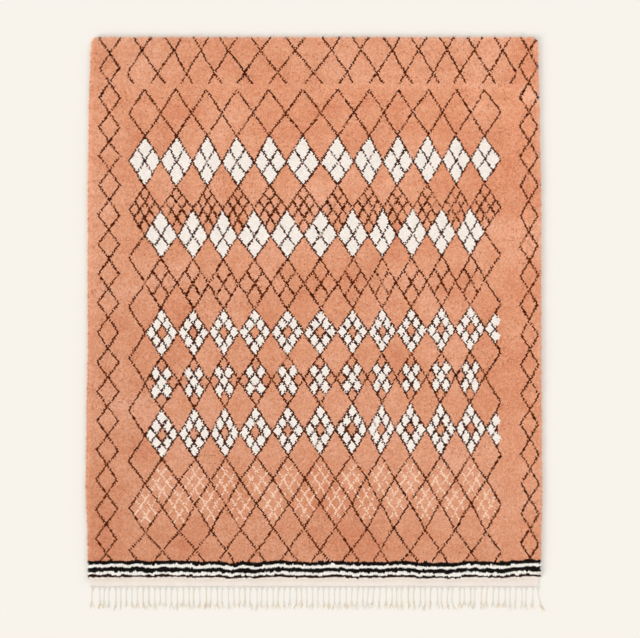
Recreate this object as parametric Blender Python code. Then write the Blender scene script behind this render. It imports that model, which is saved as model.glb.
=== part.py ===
"""A beni ourain rug lying flat: one woven cloth with a knotted wool pile, striped
pile rows and a flat-woven band at one end, and the warp ends knotted as a fringe.

Metres, +Z up. The origin is the middle of the underside. +X runs across the rug
and +Y along it, away from the fringe.
"""
import math
import random

import bmesh
import bpy
from mathutils import Matrix, Vector, noise

# Driving dimensions
FAR_END = 1.586          # Y of the slab's plain end; its locks stand out past it
PILE_END = -1.412        # Y where the striped pile rows stop
BAND_END = -1.454        # Y where the flat-woven band stops
PILE_HEIGHT = 0.022      # ground and pile together
BAND_THICKNESS = 0.004   # flat-woven band
CORNER_RADIUS = 0.026
BAND_SHOULDER = 0.008    # length in which the cloth narrows from pile to flat band
GAP = 0.0003             # between neighbouring pieces

# The slab's two long edges, as woven: distance from the far end, and how far each
# side stands from the centre line
EDGES = (
    # from_end, left, right
    (0.000, 1.232, 1.234),
    (0.120, 1.238, 1.237),
    (0.420, 1.247, 1.244),
    (0.920, 1.253, 1.253),
    (1.720, 1.253, 1.253),
    (2.180, 1.261, 1.256),
    (2.500, 1.263, 1.259),
    (2.780, 1.254, 1.254),
    (2.998, 1.252, 1.249),
    (3.006, 1.238, 1.242),
    (3.040, 1.237, 1.242),
)

# How the top rolls off to the rim: distance in from the rim, and share of the
# full pile height
ROLL = (
    # inset, share
    (0.000, 0.50),
    (0.007, 0.84),
    (0.022, 1.00),
)

# Lumps in the pile: size across, and height from dip to crown
LUMPS = (
    # across, height
    (0.34, 0.0044),
    (0.17, 0.0032),
)
CELLS_ACROSS = 34        # of the slab's even grid, between the rims
CELLS_ALONG = 42

LOCK_SPACING = 0.040
LOCK_REACH = (0.0044, 0.0080)    # shortest and longest, out of the slab
LOCK_WIDTH = (0.0255, 0.0374)    # narrowest and widest root
LOCK_HEIGHT = 0.013
LOCK_MIDDLE = (0.0070, 0.0084)   # lowest and highest middle
LOCK_TURN = (-14.0, 14.0)        # degrees to either side
LOCK_DROOP = 0.18                # fall of a lock for its length
LOCK_BURIED = 0.012              # length of its root, inside the slab
LOCK_TAPER = 0.42                # its tip's size, as a share of its root's

STRANDS = 80
FIRST_STRAND = -1.231            # X of the outermost strands
LAST_STRAND = 1.238
STRAND_STRAY = (-0.0040, 0.0040) # of the others from their even places
STRAND_LENGTH = (0.116, 0.131)   # shortest and longest
STRAND_FULLNESS = (0.92, 1.06)   # thinnest and thickest, against the table below
STRAND_SWAY = (-0.0050, 0.0050)  # bow of a strand to either side
STRAND_LEAN = (-0.0040, 0.0040)  # of a strand's tip against its neighbours
DRIFT = 0.012                    # lean that neighbouring tips share
DRIFT_SPAN = 0.25                # length of fringe over which that lean changes
END_LEAN = 0.032                 # the last strand on the right lies out to the side
STRIP_WIDTH = 0.007              # of the strip that the strands are rooted in
FRINGE_LEFT = -1.2365
FRINGE_RIGHT = 1.2418
ROOT_WIDTH = 0.0086

# One fringe strand from root to tip: a cord, its knot and the loose tassel after it
STRAND = (
    # along, width, height
    (0.06, 0.0080, 0.0068),
    (0.30, 0.0074, 0.0070),
    (0.58, 0.0074, 0.0068),
    (0.64, 0.0122, 0.0112),
    (0.70, 0.0120, 0.0108),
    (0.76, 0.0104, 0.0072),
    (0.92, 0.0152, 0.0062),
    (1.00, 0.0100, 0.0034),
)

SALMON = (0.71, 0.32, 0.19)
IVORY = (0.90, 0.85, 0.77)


def material(name, colour, roughness):
    """A wool material: no metal, and a rough matt surface."""
    made = bpy.data.materials.new(name)
    made.use_nodes = True
    shader = made.node_tree.nodes["Principled BSDF"]
    shader.inputs["Base Color"].default_value = (*colour, 1.0)
    shader.inputs["Roughness"].default_value = roughness
    shader.inputs["Metallic"].default_value = 0.0
    made.diffuse_color = (*colour, 1.0)
    return made


def mesh_object(name, bm, collection, finish=None):
    """Turns a bmesh into an object in a collection."""
    mesh = bpy.data.meshes.new(name)
    bm.to_mesh(mesh)
    bm.free()
    made = bpy.data.objects.new(name, mesh)
    collection.objects.link(made)
    if finish:
        mesh.materials.append(finish)
    return made


def side(y, column):
    """How far an edge stands from the centre line at y, eased between the rows."""
    from_end = FAR_END - y
    for start, stop in zip(EDGES, EDGES[1:]):
        if from_end <= stop[0]:
            share = max(0.0, (from_end - start[0]) / (stop[0] - start[0]))
            eased = share * share * (3.0 - 2.0 * share)
            return start[column] + (stop[column] - start[column]) * eased
    return EDGES[-1][column]


def lump(x, y):
    """Height of the pile's lumps at a point."""
    return sum(height * noise.noise(Vector((x / across, y / across, layer)))
               for layer, (across, height) in enumerate(LUMPS))


def roll_off(inset):
    """Share of the pile height that is left at a distance in from the rim."""
    for start, stop in zip(ROLL, ROLL[1:]):
        if inset <= stop[0]:
            share = (inset - start[0]) / (stop[0] - start[0])
            return start[1] + (stop[1] - start[1]) * share
    return 1.0


def across_places(count):
    """Columns as (share of the width, inset): rim rings, even cells, rim rings."""
    rings = [(0.0, row[0]) for row in ROLL]
    middle = [(index / count, 0.0) for index in range(1, count)]
    return rings + middle + [(1.0, -inset) for _, inset in reversed(rings)]


def along_places(count):
    """Y of each row of the slab, from the far end to the end of the flat band."""
    rim = [row[0] for row in ROLL]
    top = [FAR_END - inset for inset in rim]
    low = [PILE_END + inset for inset in reversed(rim)]
    step = (top[-1] - low[0]) / count
    middle = [top[-1] - index * step for index in range(1, count)]
    shoulder = [PILE_END - BAND_SHOULDER / 2.0, PILE_END - BAND_SHOULDER]
    return top + middle + low + shoulder + [BAND_END]


def round_corner(x, y, left, right):
    """Moves a point near a far corner of the pile onto the corner's round."""
    side_x = -1.0 if x < 0.0 else 1.0
    edge = left if x < 0.0 else right
    deep_x = CORNER_RADIUS - (edge - abs(x))
    deep_y = CORNER_RADIUS - (FAR_END - y)
    if deep_x <= 0.0 or deep_y <= 0.0:
        return x, y
    scale = max(deep_x, deep_y) / math.hypot(deep_x, deep_y)
    x = side_x * (edge - CORNER_RADIUS + deep_x * scale)
    return x, FAR_END - CORNER_RADIUS + deep_y * scale


def down_to_floor(bm):
    """Gives an open top sheet its side walls and a flat underside on the floor."""
    rim = [edge for edge in bm.edges if edge.is_boundary]
    skirt = bmesh.ops.extrude_edge_only(bm, edges=rim)["geom"]
    for vert in (item for item in skirt if isinstance(item, bmesh.types.BMVert)):
        vert.co.z = 0.0
    hem = [edge for edge in bm.edges if edge.is_boundary]
    bmesh.ops.holes_fill(bm, edges=hem, sides=0)
    bmesh.ops.recalc_face_normals(bm, faces=bm.faces)


def slab():
    """The cloth's own solid: a flat underside, and a top that follows the pile."""
    columns = across_places(CELLS_ACROSS)
    rows = along_places(CELLS_ALONG)
    bm = bmesh.new()
    bmesh.ops.create_grid(bm, x_segments=len(columns) - 1, y_segments=len(rows) - 1, size=1.0)
    for vert in bm.verts:
        column = round((vert.co.x + 1.0) / 2.0 * (len(columns) - 1))
        row = round((1.0 - vert.co.y) / 2.0 * (len(rows) - 1))
        share, inset = columns[column]
        y = rows[row]
        left, right = side(y, 1), side(y, 2)
        x = -left + (left + right) * share + inset
        from_rim = min(left + x, right - x, FAR_END - y, y - PILE_END)
        if from_rim < -GAP:
            z = BAND_THICKNESS
        else:
            z = (PILE_HEIGHT + lump(x, y)) * roll_off(max(0.0, from_rim))
        vert.co = (*round_corner(x, y, left, right), z)
    down_to_floor(bm)
    return bm


def lock_places():
    """Where the rim's locks stand: a point on the rim and its outward direction."""
    places = []
    top = FAR_END - CORNER_RADIUS
    count = int((top - PILE_END) / LOCK_SPACING)
    for index in range(count):
        y = top - (index + 0.5) * (top - PILE_END) / count
        places.append((Vector((-side(y, 1), y, 0.0)), Vector((-1.0, 0.0, 0.0))))
        places.append((Vector((side(y, 2), y, 0.0)), Vector((1.0, 0.0, 0.0))))
    left, right = -side(FAR_END, 1) + CORNER_RADIUS, side(FAR_END, 2) - CORNER_RADIUS
    count = int((right - left) / LOCK_SPACING)
    for index in range(count):
        x = left + (index + 0.5) * (right - left) / count
        places.append((Vector((x, FAR_END, 0.0)), Vector((0.0, 1.0, 0.0))))
    return places


def locks(rng):
    """Small four-sided locks of pile that lean out of the slab's rim."""
    bm = bmesh.new()
    for rim, outward in lock_places():
        reach = rng.uniform(*LOCK_REACH)
        width = rng.uniform(*LOCK_WIDTH)
        turn = Matrix.Rotation(math.radians(rng.uniform(*LOCK_TURN)), 3, "Z")
        along = turn @ outward
        across = Vector((0.0, 0.0, 1.0)).cross(along)
        along.z = -LOCK_DROOP
        height = Vector((0.0, 0.0, rng.uniform(*LOCK_MIDDLE)))
        middle = rim + outward * (reach - LOCK_BURIED) / 2.0 + height
        frame = Matrix((across * width / 2.0, (0.0, 0.0, LOCK_HEIGHT / 2.0),
                        along * (LOCK_BURIED + reach))).transposed()
        square = Matrix.Rotation(math.radians(45.0), 4, "Z")
        bmesh.ops.create_cone(bm, cap_ends=True, segments=4, radius1=math.sqrt(2.0),
                              radius2=math.sqrt(2.0) * LOCK_TAPER, depth=1.0,
                              matrix=Matrix.Translation(middle) @ frame.to_4x4() @ square)
    bmesh.ops.recalc_face_normals(bm, faces=bm.faces)
    return bm


def strand_middles(rng):
    """X of each strand's middle at its root, left to right."""
    pitch = (LAST_STRAND - FIRST_STRAND) / (STRANDS - 1)
    strays = [rng.uniform(*STRAND_STRAY) for _ in range(STRANDS)]
    strays[0] = strays[-1] = 0.0
    return [FIRST_STRAND + index * pitch + stray for index, stray in enumerate(strays)]


def strand_cuts(middles):
    """X of the strip's cuts: each strand's root lies between an even and an odd one."""
    cuts = [FRINGE_LEFT]
    for middle in middles:
        cuts += [middle - ROOT_WIDTH / 2.0, middle + ROOT_WIDTH / 2.0]
    return cuts + [FRINGE_RIGHT]


def draw_out(bm, root, start, bend, length, fullness):
    """Draws a strand out of its root face, section by section."""
    lean, sway = bend
    face = root
    for along, width, height in STRAND:
        made = bmesh.ops.extrude_discrete_faces(bm, faces=[face])
        face = made["faces"][0]
        x = start.x + lean * along * along + sway * math.sin(math.pi * along)
        y = start.y - length * along
        middle = face.calc_center_median()
        for vert in face.verts:
            aside = 0.5 if vert.co.x > middle.x else -0.5
            raised = height * fullness if vert.co.z > middle.z else 0.0
            vert.co = (x + aside * width * fullness, y, raised)


def fringe(rng):
    """The strip along the cloth's end, with the knotted strands standing out of it."""
    cuts = strand_cuts(strand_middles(rng))
    back = BAND_END - GAP
    front = back - STRIP_WIDTH
    bm = bmesh.new()
    bmesh.ops.create_grid(bm, x_segments=len(cuts) - 1, y_segments=1, size=1.0)
    for vert in bm.verts:
        cut = round((vert.co.x + 1.0) / 2.0 * (len(cuts) - 1))
        vert.co = (cuts[cut], back if vert.co.y > 0.0 else front, BAND_THICKNESS)
    down_to_floor(bm)

    front_faces = [face for face in bm.faces if face.calc_center_median().y < front + GAP]
    front_faces.sort(key=lambda face: face.calc_center_median().x)
    roots = front_faces[1::2]
    for root in roots:
        middle = root.calc_center_median()
        drift = DRIFT * noise.noise(Vector((middle.x / DRIFT_SPAN, 0.0, 0.5)))
        lean = END_LEAN if root is roots[-1] else drift + rng.uniform(*STRAND_LEAN)
        bend = (lean, rng.uniform(*STRAND_SWAY))
        draw_out(bm, root, middle, bend, rng.uniform(*STRAND_LENGTH),
                 rng.uniform(*STRAND_FULLNESS))
    return bm


def main():
    for old in list(bpy.data.objects):
        bpy.data.objects.remove(old, do_unlink=True)
    rug = bpy.data.collections.new("beni_ourain_rug")
    cutters = bpy.data.collections.new("cutters")
    bpy.context.scene.collection.children.link(rug)
    bpy.context.scene.collection.children.link(cutters)

    salmon = material("salmon_wool", SALMON, 0.95)
    ivory = material("ivory_warp", IVORY, 0.90)

    tufts = mesh_object("rim_locks", locks(random.Random(11)), cutters)
    tufts.hide_render = True
    tufts.display_type = "WIRE"
    cloth = mesh_object("rug_cloth", slab(), rug, salmon)
    join = cloth.modifiers.new("join_locks", "BOOLEAN")
    join.operation = "UNION"
    join.solver = "EXACT"
    join.object = tufts
    mesh_object("end_fringe", fringe(random.Random(23)), rug, ivory)


main()
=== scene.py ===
"""Dresses the beni ourain rug: a knotted wool pile with its lozenge lattice, the striped
pile rows and the flat-woven band at one end, the woven ground under them all, and the
warp ends plied into cords, each with its knot and its loose tassel.

Metres, +Z up, in the part's own frame. +Y runs along the rug away from its fringe.
"down" is a distance from the plain far end towards the fringe.
"""
import math
import random

import bpy
import numpy as np
from bpy.props import FloatProperty, FloatVectorProperty, IntProperty, PointerProperty
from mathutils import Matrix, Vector, noise


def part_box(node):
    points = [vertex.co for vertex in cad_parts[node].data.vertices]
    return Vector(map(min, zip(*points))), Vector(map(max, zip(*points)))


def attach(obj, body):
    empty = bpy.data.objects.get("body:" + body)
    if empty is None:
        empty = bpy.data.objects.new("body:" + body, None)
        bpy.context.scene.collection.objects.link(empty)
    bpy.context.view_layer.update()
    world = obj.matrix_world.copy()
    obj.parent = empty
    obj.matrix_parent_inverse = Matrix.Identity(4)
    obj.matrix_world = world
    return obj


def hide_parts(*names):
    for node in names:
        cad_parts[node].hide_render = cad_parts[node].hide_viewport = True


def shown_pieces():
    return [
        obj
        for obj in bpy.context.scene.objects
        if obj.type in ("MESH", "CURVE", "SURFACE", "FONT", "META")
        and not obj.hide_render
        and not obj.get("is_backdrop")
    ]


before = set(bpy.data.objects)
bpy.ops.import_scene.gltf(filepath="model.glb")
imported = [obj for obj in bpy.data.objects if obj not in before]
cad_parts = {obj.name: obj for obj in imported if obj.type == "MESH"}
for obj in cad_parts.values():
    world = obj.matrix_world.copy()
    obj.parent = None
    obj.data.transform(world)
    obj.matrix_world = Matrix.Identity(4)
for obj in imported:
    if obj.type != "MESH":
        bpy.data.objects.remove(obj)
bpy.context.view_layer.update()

bl_info = {
    "name": "Beni ourain rug",
    "version": (1, 0, 0),
    "blender": (4, 5, 0),
    "location": "3D View > Sidebar > Rug",
    "description": "Knots, weaves and ties a lozenge-patterned wool rug on its solids",
    "category": "Object",
}

CLOTH_LOW, CLOTH_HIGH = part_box("rug_cloth")
BODY = "root"
TAU = 2.0 * math.pi

# ---- the woven outline

FAR_END = 1.586          # Y of the plain end
PILE_END = -1.412        # Y where the striped pile rows stop
BAND_END = -1.454        # Y where the flat-woven band stops
CORNER_RADIUS = 0.026
GROUND = 0.0028          # top of the woven ground, under the pile
BAND_TOP = 0.0042        # top of the flat band's yarns
BAND_LAP = 0.008         # how far the band runs in under the pile's last tufts
GROUND_INSET = 0.002     # how far the ground keeps in from the pile's rim
GROUND_ROUGH = 0.0006    # unevenness of the underside
GROUND_PITCH = (0.016, 0.016)
BACK_WOOL = (0.80, 0.15) # shares of the pile's wool and of plain yarn in the knots' backs
BAND_PITCH = (0.0045, 0.0019)    # one yarn of the band, across and along
BAND_DIPS = (0.0004, 0.0007)     # how much lower its second warps and its second wefts lie
BAND_SHADE = 0.93        # light on the lower yarns
LOWEST = 0.0002          # no tuft or yarn dips under this

# The two long edges: distance from the far end, and how far each stands from the middle
EDGES = (
    # down, left, right
    (0.000, 1.232, 1.234),
    (0.120, 1.238, 1.237),
    (0.420, 1.247, 1.244),
    (0.920, 1.253, 1.253),
    (1.720, 1.253, 1.253),
    (2.180, 1.261, 1.256),
    (2.500, 1.263, 1.259),
    (2.780, 1.254, 1.254),
    (2.998, 1.252, 1.249),
    (3.006, 1.238, 1.242),
    (3.040, 1.237, 1.242),
)

# The fringe, drawn as its solid is. One strand from root to tip: a cord, its knot and
# the loose tassel after it
STRAND = (
    # along, width, height
    (0.00, 0.0086, 0.0040),
    (0.06, 0.0080, 0.0068),
    (0.30, 0.0074, 0.0070),
    (0.58, 0.0074, 0.0068),
    (0.64, 0.0122, 0.0112),
    (0.70, 0.0120, 0.0108),
    (0.76, 0.0104, 0.0072),
    (0.92, 0.0152, 0.0062),
    (1.00, 0.0100, 0.0034),
)
STRANDS = 80
FIRST_STRAND = -1.231
LAST_STRAND = 1.238
STRAND_STRAY = (-0.0040, 0.0040)
STRAND_LENGTH = (0.116, 0.131)
STRAND_FULLNESS = (0.92, 1.06)
STRAND_SWAY = (-0.0050, 0.0050)
STRAND_LEAN = (-0.0040, 0.0040)
DRIFT = 0.012            # lean that neighbouring tips share
DRIFT_SPAN = 0.25        # distance over which it changes
END_LEAN = 0.032         # the last strand on the right lies out to the side
ROOT_Y = -1.4613         # where the strands leave the strip behind them
KNOT = 0.67              # where the knot lies along a strand
KNOT_HEIGHT = 0.0056     # height of its middle
CORD_START = -0.11       # where a cord starts, inside the band
CORD_STEPS = 26
CORD_TAN = 0.15          # how tanned a cord is at its tip, if it went that far
KNOT_TAN = 0.05
WISP_REACH = (0.80, 1.03)    # how far along its strand a tassel's yarn ends
WARP_MEETS = (0.14, 0.26)    # where along its strand a gathered warp joins the cord
WARP_LAP = 0.004         # how far inside the band the gathered warps start
WARP_HEIGHT = 0.0030
WARP_RADIUS = 0.0010
TWINE_STEPS = 7.5        # points in one turn of the twined yarns

# How the pile rolls off to its rim: distance in from the rim, share of its height
ROLL = (
    # inset, share
    (0.000, 0.50),
    (0.007, 0.84),
    (0.022, 1.00),
)

# Lumps in the pile: size across, and height from dip to crown
LUMPS = (
    # across, height
    (0.34, 0.0044),
    (0.17, 0.0032),
)
LUMP_STEP = 0.03         # pitch of the grid that the lumps are read from

# The locks that lean out over the rim, and the loose yarn ends
RIM_PITCH = 0.0068
RIM_INSETS = (0.004, 0.010)  # how far in from the rim a lock is rooted
RIM_HEIGHTS = (0.0035, 0.0125)
RIM_LIFTS = (-0.15, 0.45)    # how far up a lock aims
RIM_LOW = 0.006          # locks that start lower than this aim up more
END_ROOT = 0.0030        # how deep a yarn end starts in the pile

# Short bowed lines where the pile parts: the ranges that one is drawn from
PARTING = (
    (-1.2, 1.2),             # its middle, across
    (-1.25, 1.5),            # its middle, along
    (0.02, 0.08),            # half its length
    (-0.010, 0.010),         # its bow
    (0.3, 1.0),              # how clear it is
)
PARTINGS = 34
PARTING_WIDTH = 0.0072
PARTING_DEPTH = 0.0025

# The beats of the noise: odd factors for column, row and seed, one that mixes them, the
# bits that are kept, and a shift that keeps every place above 0
PRIMES = (374761393, 668265263, 1442695041)
MIXER = 1274126177
WORD = 0xFFFFFFFF
POSITIVE = 1000.0

# Noises in layers: the weight of each, the distance between its beats, and its seed
STRAY_ACROSS = ((1.0, 0.11, 1), (0.4, 0.032, 2))
STRAY_ALONG = ((1.0, 0.13, 3), (0.3, 0.035, 4))
STRIPE_WAVE = ((0.8, 0.15, 15), (0.5, 0.065, 16), (0.25, 0.024, 28))
MOTTLE = ((1.0, 0.24, 9), (0.6, 0.09, 10), (0.12, 0.03, 11))

# Other noises: the distance between their beats, and their seed
CALM_WAVE = (0.14, 27)
UNEVEN = (0.011, 29)
ABRASH = (0.022, 12)
FLECKED = (0.20, 13)
THICKNESS = (0.06, 6)
WORN = (0.055, 14)
RUST = (0.07, 36)
STRIPE_EDGE = (0.020, 18)
CLUMP = (0.016, 21)

# ---- the pattern

# Rows of the field's lattice, from the far end: where each row of corners lies at the
# left, in the middle and at the right, and what fills the lozenges centred on it
FIELD_ROWS = (
    # left, middle, right, fill
    (0.291, 0.297, 0.291, "plain"),
    (0.424, 0.423, 0.419, "plain"),
    (0.552, 0.547, 0.547, "plain"),
    (0.689, 0.695, 0.680, "white_quarters"),
    (0.830, 0.827, 0.813, "plain"),
    (0.957, 0.955, 0.946, "salmon_ninths"),
    (1.101, 1.104, 1.079, "white_quarters"),
    (1.229, 1.232, 1.207, "plain"),
    (1.363, 1.368, 1.346, "salmon_quarters"),
    (1.499, 1.510, 1.479, "plain"),
    (1.640, 1.637, 1.618, "white_ring"),
    (1.782, 1.765, 1.745, "plain"),
    (1.923, 1.895, 1.879, "white_cross"),
    (2.070, 2.037, 2.023, "plain"),
    (2.217, 2.181, 2.173, "white_ring"),
    (2.345, 2.323, 2.319, "plain"),
    (2.480, 2.448, 2.455, "hatched"),
    (2.611, 2.586, 2.592, "hatched"),
    (2.752, 2.722, 2.747, "plain"),
    (2.850, 2.844, 2.858, "plain"),
    (2.961, 2.955, 2.972, "plain"),
)

# Columns of the field's lattice: where they lie at the top and at the foot
FIELD_COLUMNS = (
    # top, foot
    (-1.028, -1.028),
    (-0.940, -0.935),
    (-0.768, -0.745),
    (-0.599, -0.569),
    (-0.430, -0.409),
    (-0.254, -0.226),
    (-0.064, -0.054),
    (0.132, 0.116),
    (0.305, 0.287),
    (0.464, 0.440),
    (0.632, 0.610),
    (0.787, 0.780),
    (0.939, 0.953),
    (1.027, 1.038),
)

# The band of lattice that the far end cuts off
TOP_ROWS = [(row, row, row, "plain") for row in (-0.181, -0.053, 0.075, 0.203, 0.330)]
TOP_COLUMNS = [(place, place) for place in (
    -1.036, -0.957, -0.780, -0.630, -0.477, -0.299, -0.108, 0.097, 0.258,
    0.430, 0.580, 0.730, 0.885, 1.043, 1.122)]
TOP_LEGS_END = 0.261

# How each fill divides its lozenge: parts each way, the wool and the width of the lines
# between them, and which cells are white, named by their step along the two diagonals
FILLS = {
    # name: (parts, wool, share of the thin line's width, white cells)
    "plain": (1, None, 0.0, ()),
    "white_quarters": (2, "dark", 0.86, ((0, 0), (0, 1), (1, 0), (1, 1))),
    "salmon_quarters": (2, "dark", 1.0, ()),
    "salmon_ninths": (3, "dark", 1.0, ()),
    "white_ring": (3, "dark", 0.96,
                   ((0, 0), (0, 1), (0, 2), (1, 0), (1, 2), (2, 0), (2, 1), (2, 2))),
    "white_cross": (3, "dark", 0.96, ((0, 1), (1, 0), (1, 1), (1, 2), (2, 1))),
    "hatched": (3, "cream", 0.76, ()),
}
HALF_LOZENGES = (10, 14)     # rows that end at the right in half a lozenge
HALF_REACH = 0.8         # how far its lines reach, in steps past the last column

# The chains of single lozenges down the two sides
CHAINS = (
    # top_x, foot_x, half_width, first crossing, pitch
    (-1.132, -1.153, 0.058, 0.094, 0.1628),
    (1.186, 1.194, 0.049, 0.085, 0.1650),
)

# The striped rows, from the far end
STRIPES = (
    # start, stop, wool
    (2.901, 2.922, "black"),
    (2.922, 2.9387, "milk"),
    (2.9387, 2.9635, "black"),
    (2.9635, 2.9787, "milk"),
    (2.9787, 2.993, "umber"),
    (2.993, 3.100, "ivory"),
)
FIELD_END = 2.885        # the pile is cut into pieces here, above the stripes
FIELD_START = 0.280      # the field's lattice starts here
PATTERN_END = STRIPES[0][0] + 0.01
PATTERN_DOWN = 0.004     # the pattern lies this much nearer the far end than its rows say
CHAIN_LINE = 1.05        # width of a chain's line, as a share of the lattice's
JOG_LENGTH = 0.05        # how far along its row a line keeps one jump
KNOT_STRAY = 0.0006      # how far single knots stray from the pattern
MISSING = 0.12           # share of a line's knots that are missing
STRIPE_STRAY = 0.0034    # how far a stripe's edge strays among its knots
HATCH_SHARES = (0.60, 0.35)  # cream in the hatching, and what the finest knots have more
SMOKE_SHARE = 0.12       # smoke in the lines between white cells
FLECK_SHARE = 0.55       # dark wool in a fleck
WORN_SHARE = 0.5         # brown wool where a line's knot is missing
KNOT_LIGHT = 0.115       # how much lighter or darker single knots of the ground are, at random: partly the wool's own tone, partly painted highlight and shade on their tops
PAINTED_RIM_LIGHT = 0.14         # painted light: how much lighter the ground is painted along its right and far rims
GAP_SHADE = 0.84         # light between knots, as a share of that on their tops
FOOT_SHADE = 0.80        # light at the pile's foot
PARTING_SHADE = 0.16     # how much darker the pile is where it parts

# A paler patch in the right-hand chain: where it lies, and how far it reaches
RUBBED = (1.185, 1.255, 0.085)

# Where the ground is made lighter or darker, knot by knot and along its rims, its green and blue
# change more than its red: powers for red, green and blue
SATURATION = (0.8, 1.6, 2.2)

# ---- the stage

FLOOR_REACH = 40.0
FLOOR_LEVEL = -0.0004    # just under the ground's underside
VIEW_MIDDLE = (0.0305, 0.0278)

# The two side lights: how broad each looks, in degrees, and the way to it
SIDE_LIGHTS = {
    "key": (21.0, (-0.75, -0.56, 0.36)),
    "rim": (34.0, (0.66, 0.64, 0.42)),
}


def srgb(red, green, blue):
    """A colour given as 0 to 255 screen values, in linear light."""
    def one(value):
        value /= 255.0
        return value / 12.92 if value <= 0.04045 else ((value + 0.055) / 1.055) ** 2.4
    return one(red), one(green), one(blue)


def number(name, text, value, **kinds):
    return FloatProperty(name=name, description=text, default=value, **kinds)


def length(name, text, value):
    return number(name, text, value, min=0.0, unit="LENGTH")


def count(name, text, value):
    return IntProperty(name=name, description=text, default=value, min=1)


def colour(name, text, value):
    return FloatVectorProperty(name=name, description=text, default=srgb(*value), size=3,
                               min=0.0, max=1.0, subtype="COLOR")


class RugPileSettings(bpy.types.PropertyGroup):
    """Sizes of the knotted pile."""
    height: length("Pile height", "Ground and pile together", 0.022)
    knot: length("Knot width", "Width of one knot across the rug", 0.0052)
    row: length("Row of knots", "Height of one row of knots along the rug", 0.0107)
    relief: length("Relief", "How deep the dips between knots are", 0.0026)
    ragged: length("Raggedness", "How far knots stand unevenly", 0.0011)
    line: length("Pattern line", "Width of a line of the lattice", 0.0097)
    thin_line: length("Thin line", "Width of a line inside a lozenge", 0.0110)
    wander: length("Wander", "How far the pattern strays from true", 0.0042)
    jog: length("Jog", "How far a line jumps from one row of knots to the next", 0.0014)
    wave: length("Stripe wave", "How far the striped rows wave", 0.0090)
    uneven: length("Stripe unevenness", "How unevenly single striped knots are beaten", 0.0038)
    calm: length("Row wave", "How far the field's rows wave", 0.0020)
    ends: count("Yarn ends", "Loose yarn ends that stand out of the pile", 17500)


class RugColours(bpy.types.PropertyGroup):
    """Colours of the wools."""
    salmon: colour("Salmon", "The ground's main colour", (229, 163, 127))
    pale: colour("Pale salmon", "Paler patches of the ground", (236, 176, 144))
    deep: colour("Deep salmon", "Deeper patches of the ground", (221, 147, 111))
    dark: colour("Line wool", "Brown-black wool of the lattice", (60, 18, 6))
    brown: colour("Worn line wool", "Wool of the lattice where it is mixed", (128, 62, 22))
    black: colour("Stripe wool", "Black wool of the stripes", (20, 15, 12))
    white: colour("White wool", "Undyed wool", (254, 249, 240))
    milk: colour("Milk wool", "Cooler undyed wool between the stripes", (251, 251, 244))
    umber: colour("Umber wool", "Browner black wool of the last stripe", (42, 21, 13))
    ivory: colour("Ivory wool", "Undyed wool of the last pile rows", (243, 238, 229))
    smoke: colour("Smoky line wool", "Mixed in the lines between white cells", (116, 104, 94))
    cream: colour("Cream wool", "Thin hatching in the salmon", (255, 224, 198))
    fleck: colour("Fleck", "Single dark knots in the ground", (176, 104, 72))
    warp: colour("Warp", "Undyed warp yarn", (219, 218, 212))
    twine: colour("Twine", "The twined yarn along the band's edge", (222, 218, 211))
    band: colour("Flat band", "The flat-woven band", (238, 232, 223))
    tip: colour("Yarn tip", "Frayed ends of the warp", (222, 198, 154))


class RugFringeSettings(bpy.types.PropertyGroup):
    """Sizes of the fringe."""
    plies: count("Plies", "Yarns twisted into one cord", 3)
    ply: length("Ply radius", "Radius of one of a cord's yarns", 0.0020)
    twist: number("Twist", "Turn of a cord's yarns from root to knot", 24.0, subtype="ANGLE")
    wisps: count("Wisps", "Loose yarns in one tassel", 8)
    wisp: length("Wisp radius", "Radius of a tassel's loose yarn", 0.0009)
    fray: length("Fray", "How far a tassel's yarns wander", 0.0150)
    warps: count("Warps", "Warps gathered into one cord", 6)
    gather: length("Gather", "Width of band that one cord's warps come from", 0.0270)
    twine: length("Twine radius", "Radius of each yarn twined along the band's edge", 0.0014)
    turn: length("Twine turn", "Length of one turn of the twined yarns", 0.0125)


class RugStageSettings(bpy.types.PropertyGroup):
    """The camera, the lights and the floor."""
    view: length("View width", "Width that the camera sees at the floor", 3.552)
    lens: number("Lens", "Focal length in millimetres", 100.0)
    key: number("Key light", "Strength of the broad side light", 2.00)
    rim: number("Rim light", "Strength of the light across from the key", 1.00)
    fill: number("Fill light", "Strength of the light all round", 0.815)
    glow: colour("Glow", "Colour of the light all round", (255, 245, 242))
    floor: colour("Floor", "The pale floor", (231, 233, 227))


# ---- numbers by rule

def smooth(part):
    """A share from 0 to 1, eased at both its ends."""
    return part * part * (3.0 - 2.0 * part)


def blend(low, high, part):
    """Between two values, by the share of the second."""
    return low * (1.0 - part) + high * part


def ease(low, high, value):
    """0 below low, 1 above high, and smooth between."""
    return smooth(np.clip((value - low) / (high - low), 0.0, 1.0))


def beat(column, row, seed):
    """A fixed value from -1 to 1 for each whole place."""
    places = [np.asarray(place).astype(np.int64) for place in (column, row, seed)]
    mixed = sum(place * prime for place, prime in zip(places, PRIMES)) & WORD
    mixed = ((mixed ^ (mixed >> 13)) * MIXER) & WORD
    mixed = mixed ^ (mixed >> 16)
    return (mixed & 0xFFFF) / 32767.5 - 1.0


def grain(x, y, size, seed):
    """Smooth noise from -1 to 1 at each point; size is the distance between its beats."""
    u, v = x / size + POSITIVE, y / size + POSITIVE
    column, row = np.floor(u).astype(np.int64), np.floor(v).astype(np.int64)
    low, high = (blend(beat(column, row + up, seed), beat(column + 1, row + up, seed),
                       smooth(u - column)) for up in (0, 1))
    return blend(low, high, smooth(v - row))


def layered(x, y, layers):
    """Several grains put together, each with its weight, its size and its seed."""
    return sum(weight * grain(x, y, size, seed) for weight, size, seed in layers)


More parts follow.
